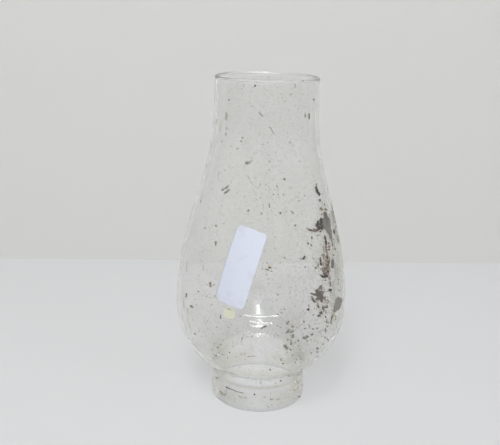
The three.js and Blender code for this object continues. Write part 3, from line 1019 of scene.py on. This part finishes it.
# Dust and fine grit
# Loose dust that has settled on the greasy glass all round, thickest on the right side where the dirt cakes.
# It is scattered by a tree of nodes over a bare copy of the outside, and each grain is a low cone.
grain_sides = 6
grain_rise_share = 0.35
narrowest_grain_shares = (0.5, 0.7, 1.0)
widest_grain_shares = (1.0, 2.4, 1.0)
dust_dark = (0.15, 0.14, 0.12, 1)
dust_light = (0.36, 0.34, 0.30, 1)
dust_roughness = 0.8
dust_grain = 500.0
clump_detail = 4.0
clump_roughness = 0.7
clump_start = 0.38
clump_full = 0.66
least_dust_share = 0.15
most_dust_share = 1.6
dirty_side_start = 0.022
dirty_side_full = 0.056
neck_dust_top = 0.235
neck_dust_end = 0.16
neck_dust_share = 0.7
dust_sizes = {
    "Grains per square metre": 90000.0,
    "Smallest grain": 0.00013,
    "Largest grain": 0.00035,
    "Gap to the glass": 0.00002,
    "Clump scale": 55.0,
    "More on the dirty side": 3.2,
}
dust_seed = 11
dust_crust = crust("dust", dust_dark, dust_light, dust_roughness, dust_grain)
dust_tree = bpy.data.node_groups.new("scatter_dust", "GeometryNodeTree")
dust_tree.interface.new_socket("Geometry", in_out="INPUT", socket_type="NodeSocketGeometry")
dust_tree.interface.new_socket("Geometry", in_out="OUTPUT", socket_type="NodeSocketGeometry")
for name in dust_sizes:
    dust_tree.interface.new_socket(name, in_out="INPUT", socket_type="NodeSocketFloat")
dust_tree.interface.new_socket("Seed", in_out="INPUT", socket_type="NodeSocketInt")
given = add_node(dust_tree, "NodeGroupInput").outputs
spot = add_node(dust_tree, "GeometryNodeInputPosition").outputs[0]
spot_axes = add_node(dust_tree, "ShaderNodeSeparateXYZ", {0: spot}).outputs
clumps = add_node(dust_tree, "ShaderNodeTexNoise", {
    "Vector": spot, "Scale": given["Clump scale"], "Detail": clump_detail, "Roughness": clump_roughness})
clump_share = add_node(dust_tree, "ShaderNodeMapRange", {
    "Value": clumps.outputs[0], "From Min": clump_start, "From Max": clump_full,
    "To Min": least_dust_share, "To Max": most_dust_share})
dirty_side = add_node(dust_tree, "ShaderNodeMapRange", {
    "Value": spot_axes["X"], "From Min": dirty_side_start, "From Max": dirty_side_full,
    "To Min": 1.0, "To Max": given["More on the dirty side"]})
below_neck = add_node(dust_tree, "ShaderNodeMapRange", {
    "Value": spot_axes["Z"], "From Min": neck_dust_top, "From Max": neck_dust_end,
    "To Min": neck_dust_share, "To Max": 1.0})
density = clump_share.outputs[0]
for factor in (dirty_side.outputs[0], below_neck.outputs[0], given["Grains per square metre"]):
    density = add_node(dust_tree, "ShaderNodeMath", {0: density, 1: factor}, operation="MULTIPLY").outputs[0]
scattered = add_node(dust_tree, "GeometryNodeDistributePointsOnFaces", {
    "Mesh": given["Geometry"], "Density": density, "Seed": given["Seed"]})
grain = add_node(dust_tree, "GeometryNodeMeshCone", {
    "Vertices": grain_sides, "Radius Top": 0.0, "Radius Bottom": 1.0, "Depth": grain_rise_share})
grain_size = add_node(dust_tree, "FunctionNodeRandomValue", {
    "Min": given["Smallest grain"], "Max": given["Largest grain"], "Seed": given["Seed"]},
    data_type="FLOAT")
long_share = add_node(dust_tree, "FunctionNodeRandomValue", {
    0: narrowest_grain_shares, 1: widest_grain_shares, "Seed": given["Seed"]}, data_type="FLOAT_VECTOR")
size = add_node(dust_tree, "ShaderNodeVectorMath", {
    0: long_share.outputs[0], "Scale": grain_size.outputs[1]}, operation="SCALE")
dust_grains = add_node(dust_tree, "GeometryNodeInstanceOnPoints", {
    "Points": scattered.outputs["Points"], "Instance": grain.outputs["Mesh"],
    "Rotation": scattered.outputs["Rotation"], "Scale": size.outputs[0]})
turn = add_node(dust_tree, "FunctionNodeRandomValue", {
    "Min": 0.0, "Max": 2 * math.pi, "Seed": given["Seed"]}, data_type="FLOAT")
turns = add_node(dust_tree, "ShaderNodeCombineXYZ", {"Z": turn.outputs[1]})
turned = add_node(dust_tree, "GeometryNodeRotateInstances", {
    "Instances": dust_grains.outputs[0], "Rotation": turns.outputs[0]})
gap = add_node(dust_tree, "ShaderNodeVectorMath", {
    0: scattered.outputs["Normal"], "Scale": given["Gap to the glass"]}, operation="SCALE")
lifted = add_node(dust_tree, "GeometryNodeTranslateInstances", {
    "Instances": turned.outputs[0], "Translation": gap.outputs[0], "Local Space": False})
real = add_node(dust_tree, "GeometryNodeRealizeInstances", {"Geometry": lifted.outputs[0]})
dusted = add_node(dust_tree, "GeometryNodeSetMaterial", {
    "Geometry": real.outputs[0], "Material": dust_crust})
add_node(dust_tree, "NodeGroupOutput", {"Geometry": dusted.outputs[0]})

bare_points = glass_points[:len(outline) * glass_sides]
bare_faces = glass_faces[:(len(outline) - 1) * glass_sides]
dust = add_mesh("loose_dust", bare_points, bare_faces, dust_crust, smooth=False)
scatter = dust.modifiers.new("scatter_dust", "NODES")
scatter.node_group = dust_tree
for socket in dust_tree.interface.items_tree:
    if socket.in_out == "INPUT" and socket.name == "Seed":
        scatter[socket.identifier] = dust_seed
    elif socket.in_out == "INPUT" and socket.name in dust_sizes:
        scatter[socket.identifier] = dust_sizes[socket.name]
dust_mesh = bpy.data.meshes.new_from_object(dust.evaluated_get(bpy.context.evaluated_depsgraph_get()))
dust.modifiers.remove(scatter)
dust.data = dust_mesh
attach(dust, "root")

# Light
# A pale room gives soft light from all round, and large soft lamps high in front light the paper, the soot
# and the table through the glass. A small near lamp draws the soft shadow of the glass on the table.
# Ceiling tubes, a window and a skylight show only as glints in the glass.
room_light = 0.15
room_seen = (0.92, 0.92, 0.905, 1)
room_low = (0.42, 0.42, 0.41, 1)
room_low_at = -0.12
room_full_at = 0.10
furniture_scale = 3.5
furniture_detail = 2.0
furniture_start = 0.35
furniture_full = 0.65
furniture_share = 0.45
soft_lamps = (
    # place, side, power: large far lamps in front and on both sides, whose light passes through the glass
    ((0.0, -3.5, 3.5), 2.2, 171.0),
    ((-3.0, -2.5, 3.0), 2.0, 8.0),
    ((3.0, -2.5, 3.0), 2.0, 40.0),
)
near_lamp_side = 0.3
near_lamp_power = 1.65
near_lamp_place = Vector((-0.14, -0.55, 0.93))
lamp_target = Vector((0, 0, 0.1))
gathered_light_place = Vector((-0.005, 0.050, 0.6))
gathered_light_power = 9.0
gathered_light_cone = math.radians(10.5)
gathered_light_narrowing = 0.7
glint_target = Vector((0, 0.05, 0.042))
ceiling_height = 1.6
tube_width = 0.05
tube_strength = 16.0
tubes = (
    # steepness seen from the bulb in degrees, left and right end as bearings in degrees
    ("front_tube", 57.0, -41.0, 41.0),
    ("middle_tube", 67.5, -36.0, 30.0),
    ("rear_tube", 72.5, -30.0, 34.0),
)
panels = (
    # steepness and bearing in degrees, distance, width, height, strength: a window that is brightest in its
    # middle and soft at its edge, with a glow round it, and a skylight above it
    ("window", 45.5, 3.0, 1.60, 0.075, 0.40, 8.0),
    ("window_edge", 45.5, 3.0, 1.65, 0.155, 0.46, 4.2),
    ("window_halo", 46.0, 3.0, 1.70, 0.27, 0.50, 1.9),
    ("window_glow", 48.0, 3.5, 1.75, 0.46, 1.1, 1.15),
    ("skylight", 67.5, 0.5, 1.60, 0.16, 0.34, 4.5),
)

# Light runs along inside the glass wall for many reflections, so the paths through it may be long.
bounces_in_glass = 48
bpy.context.scene.cycles.max_bounces = bounces_in_glass
bpy.context.scene.cycles.transmission_bounces = bounces_in_glass
bpy.context.scene.cycles.glossy_bounces = bounces_in_glass

world = bpy.data.worlds.new("room")
world.use_nodes = True
world.node_tree.nodes.clear()
bpy.context.scene.world = world
# The room is seen in the glass and by the camera. Its plain light falls on everything else.
ray = add_node(world, "ShaderNodeLightPath")
camera_or_glossy = add_node(world, "ShaderNodeMath", {
    0: ray.outputs["Is Camera Ray"], 1: ray.outputs["Is Glossy Ray"]}, operation="MAXIMUM")
seen = add_node(world, "ShaderNodeMath", {
    0: camera_or_glossy.outputs[0], 1: ray.outputs["Is Transmission Ray"]}, operation="MAXIMUM")
first = add_node(world, "ShaderNodeMath", {
    0: ray.outputs["Diffuse Depth"], 1: 1.0}, operation="LESS_THAN")
seen_first = add_node(world, "ShaderNodeMath", {
    0: seen.outputs[0], 1: first.outputs[0]}, operation="MULTIPLY")
lit = add_node(world, "ShaderNodeBackground", {"Color": (1, 1, 1, 1), "Strength": room_light})
direction = add_node(world, "ShaderNodeTexCoord").outputs["Generated"]
upward = add_node(world, "ShaderNodeSeparateXYZ", {"Vector": direction}).outputs["Z"]
above_floor = add_node(world, "ShaderNodeMapRange", {
    "Value": upward, "From Min": room_low_at, "From Max": room_full_at}, interpolation_type="SMOOTHSTEP")
furniture = add_node(world, "ShaderNodeTexNoise", {
    "Vector": direction, "Scale": furniture_scale, "Detail": furniture_detail})
furnished = add_node(world, "ShaderNodeMapRange", {
    "Value": furniture.outputs["Fac"], "From Min": furniture_start, "From Max": furniture_full,
    "To Min": 1.0, "To Max": furniture_share})
lit_share = add_node(world, "ShaderNodeMath", {
    0: above_floor.outputs["Result"], 1: furnished.outputs["Result"]}, operation="MULTIPLY")
room_tone = add_node(world, "ShaderNodeMix", {
    "Factor": lit_share.outputs[0], 6: room_low, 7: room_seen}, data_type="RGBA")
shown = add_node(world, "ShaderNodeBackground", {"Color": room_tone.outputs[2], "Strength": 1.0})
room_mix = add_node(world, "ShaderNodeMixShader", {
    0: seen_first.outputs[0], 1: lit.outputs[0], 2: shown.outputs[0]})
add_node(world, "ShaderNodeOutputWorld", {"Surface": room_mix.outputs[0]})


def hide_from_glass(lamp, blockers):
    """Keeps a lamp itself out of the glints. The blockers say whether the glass shades its light."""
    lamp.visible_glossy = False
    lamp.visible_transmission = False
    lamp.light_linking.blocker_collection = blockers


def glass_alone(name, link_state):
    """A collection that holds only the glass, which blocks a lamp's light or lets it through."""
    collection = bpy.data.collections.new(name)
    collection.objects.link(glass)
    collection.collection_objects[0].light_linking.link_state = link_state
    return collection


def add_lamp(name, place, target, width, height, power):
    lamp = bpy.data.objects.new(name, bpy.data.lights.new(name, "AREA"))
    lamp.data.shape = "RECTANGLE"
    lamp.data.size = width
    lamp.data.size_y = height
    lamp.data.energy = power
    lamp.location = place
    lamp.rotation_euler = (target - place).to_track_quat("-Z", "Y").to_euler()
    bpy.context.scene.collection.objects.link(lamp)
    return lamp


def add_glint(name, place, width, height, strength):
    """A lamp that shows in the glass and lights nothing."""
    lamp = add_lamp(name, place, glint_target, width, height, strength * math.pi * width * height)
    lamp.data.use_nodes = True
    lamp.data.node_tree.nodes.clear()
    lamp.visible_diffuse = False
    path = add_node(lamp.data, "ShaderNodeLightPath")
    unscattered = add_node(lamp.data, "ShaderNodeMath", {
        0: path.outputs["Diffuse Depth"], 1: 1.0}, operation="LESS_THAN")
    glow = add_node(lamp.data, "ShaderNodeEmission", {"Strength": unscattered.outputs[0]})
    add_node(lamp.data, "ShaderNodeOutputLight", {"Surface": glow.outputs[0]})


lets_light_through = glass_alone("lets_the_soft_lamps_through", "EXCLUDE")
throws_a_shadow = glass_alone("shade_from_the_near_lamp", "INCLUDE")
for number, (place, side, power) in enumerate(soft_lamps):
    soft_lamp = add_lamp("soft_lamp_%d" % number, Vector(place), lamp_target, side, side, power)
    hide_from_glass(soft_lamp, lets_light_through)
near_lamp = add_lamp(
    "near_lamp", near_lamp_place, lamp_target, near_lamp_side, near_lamp_side, near_lamp_power)
hide_from_glass(near_lamp, throws_a_shadow)

# The bulb gathers some of the light into a soft patch on the table behind the collar.
gathered = bpy.data.objects.new("gathered_light", bpy.data.lights.new("gathered_light", "SPOT"))
gathered.location = gathered_light_place
gathered.scale.x = gathered_light_narrowing
gathered.data.energy = gathered_light_power
gathered.data.spot_size = gathered_light_cone
gathered.data.spot_blend = 1.0
bpy.context.scene.collection.objects.link(gathered)
hide_from_glass(gathered, lets_light_through)

for name, steepness, first_bearing, last_bearing in tubes:
    rise = ceiling_height - glint_target.z
    away = rise / math.tan(math.radians(steepness))
    first_x = away * math.tan(math.radians(first_bearing))
    last_x = away * math.tan(math.radians(last_bearing))
    place = glint_target + Vector(((first_x + last_x) / 2, -away, rise))
    add_glint(name, place, last_x - first_x, tube_width, tube_strength)
for name, steepness, bearing, distance, width, height, strength in panels:
    rise = math.radians(steepness)
    turn = math.radians(bearing)
    way = Vector((math.cos(rise) * math.sin(turn), -math.cos(rise) * math.cos(turn), math.sin(rise)))
    add_glint(name, glint_target + distance * way, width, height, strength)
